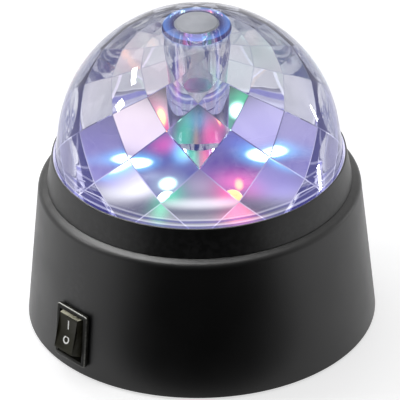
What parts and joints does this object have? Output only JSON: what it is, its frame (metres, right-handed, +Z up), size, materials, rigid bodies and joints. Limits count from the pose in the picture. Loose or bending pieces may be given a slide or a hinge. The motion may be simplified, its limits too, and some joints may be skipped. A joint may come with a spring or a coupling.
{
  "type": "rotating disco ball light",
  "caption": "Table-top party light: a clear faceted dome turns over coloured lamps on a black round base with a rocker switch.",
  "frame": {"origin": "on the surface that the light stands on, under the axis of the dome", "axes": "+Z up along the axis of the dome; the front is towards -Y and the switch is on the left of the front"},
  "size_m": [0.128, 0.128, 0.1223],
  "materials": {
    "black_plastic": "satin black moulded plastic with a very fine grain",
    "clear_plastic": "clear faceted styrene, faintly lavender, polished",
    "frosted_plastic": "light grey translucent plastic plug",
    "silver_plastic": "silver metallised plastic reflector",
    "switch_black": "gloss black nylon",
    "grey_plastic": "grey moulded plastic",
    "white_nylon": "white nylon",
    "steel": "plated steel",
    "bronze": "sintered bronze",
    "brass": "brass",
    "board_green": "green circuit board",
    "rubber": "matt black rubber",
    "cell_jacket": "printed metal jacket, plain blue grey",
    "red_lead": "red PVC insulation",
    "black_lead": "black PVC insulation",
    "blue_lamp": "clear blue lamp, lit",
    "green_lamp": "clear green lamp, lit",
    "red_lamp": "clear red lamp, lit"
  },
  "bodies": {
    "base": {"base_shell": "black_plastic", "top_collar": "black_plastic", "chassis_deck": "black_plastic", "bottom_cover": "black_plastic", "reflector_plate": "silver_plastic", "led_board": "board_green", "gearbox_case": "grey_plastic", "gearbox_lid": "grey_plastic", "shaft_bush": "bronze", "first_gear_pin": "steel", "second_gear_pin": "steel", "motor_can": "steel", "motor_end_cap": "white_nylon", "contact_plus": "steel", "contact_bridge_left": "steel", "contact_bridge_right": "steel", "contact_minus": "steel", "switch_housing": "switch_black", "switch_terminal_upper": "brass", "switch_terminal_lower": "brass", "lead_battery_switch": "red_lead", "lead_switch_board": "red_lead", "lead_battery_board": "black_lead", "lead_motor_plus": "red_lead", "lead_motor_minus": "black_lead", "chassis_screw_1": "steel", "cover_screw_1": "steel", "board_screw_1": "steel", "gearbox_screw_1": "steel", "rubber_foot_1": "rubber", "battery_cell_1": "cell_jacket", "chassis_screw_2": "steel", "cover_screw_2": "steel", "board_screw_2": "steel", "gearbox_screw_2": "steel", "rubber_foot_2": "rubber", "battery_cell_2": "cell_jacket", "chassis_screw_3": "steel", "cover_screw_3": "steel", "board_screw_3": "steel", "gearbox_screw_3": "steel", "rubber_foot_3": "rubber", "battery_cell_3": "cell_jacket", "led_blue_right": "blue_lamp", "led_green_back": "green_lamp", "led_red_back": "red_lamp", "led_blue_left": "blue_lamp", "led_green_front": "green_lamp", "led_red_front": "red_lamp"},
    "dome": {"crystal_dome": "clear_plastic", "dome_cap": "frosted_plastic", "output_shaft": "steel", "output_gear": "white_nylon"},
    "second_gear": {"second_gear": "white_nylon"},
    "first_gear": {"first_gear": "white_nylon"},
    "motor": {"motor_rotor": "steel", "motor_pinion": "brass"},
    "rocker": {"switch_rocker": "switch_black"},
    "door": {"battery_door": "black_plastic"}
  },
  "joints": [
    {"name": "dome_spin", "type": "hinge", "parent": "base", "child": "dome", "pos_m": [0, 0, 0.0635], "axis": [0, 0, 1], "continuous": true},
    {"name": "second_gear_spin", "type": "hinge", "parent": "base", "child": "second_gear", "pos_m": [0.01355, 0, 0.044], "axis": [0, 0, 1], "continuous": true},
    {"name": "first_gear_spin", "type": "hinge", "parent": "base", "child": "first_gear", "pos_m": [0.00702, -0.0113, 0.042], "axis": [0, 0, 1], "continuous": true},
    {"name": "motor_spin", "type": "hinge", "parent": "base", "child": "motor", "pos_m": [-0.00602, -0.0113, 0.03], "axis": [0, 0, 1], "continuous": true},
    {"name": "switch_rock", "type": "hinge", "parent": "base", "child": "rocker", "pos_m": [-0.04248, -0.03771, 0.01506], "axis": [0.6639, -0.7478, 0], "range_deg": [0, 17]},
    {"name": "battery_door_swing", "type": "hinge", "parent": "base", "child": "door", "pos_m": [0, 0.0045, 0.0026], "axis": [-1, 0, 0], "range_deg": [0, 75]}
  ],
  "couplings": [
    {"joint": "second_gear_spin", "follows": "dome_spin", "ratio": -4.4},
    {"joint": "first_gear_spin", "follows": "dome_spin", "ratio": 18.48},
    {"joint": "motor_spin", "follows": "dome_spin", "ratio": -77.616}
  ]
}
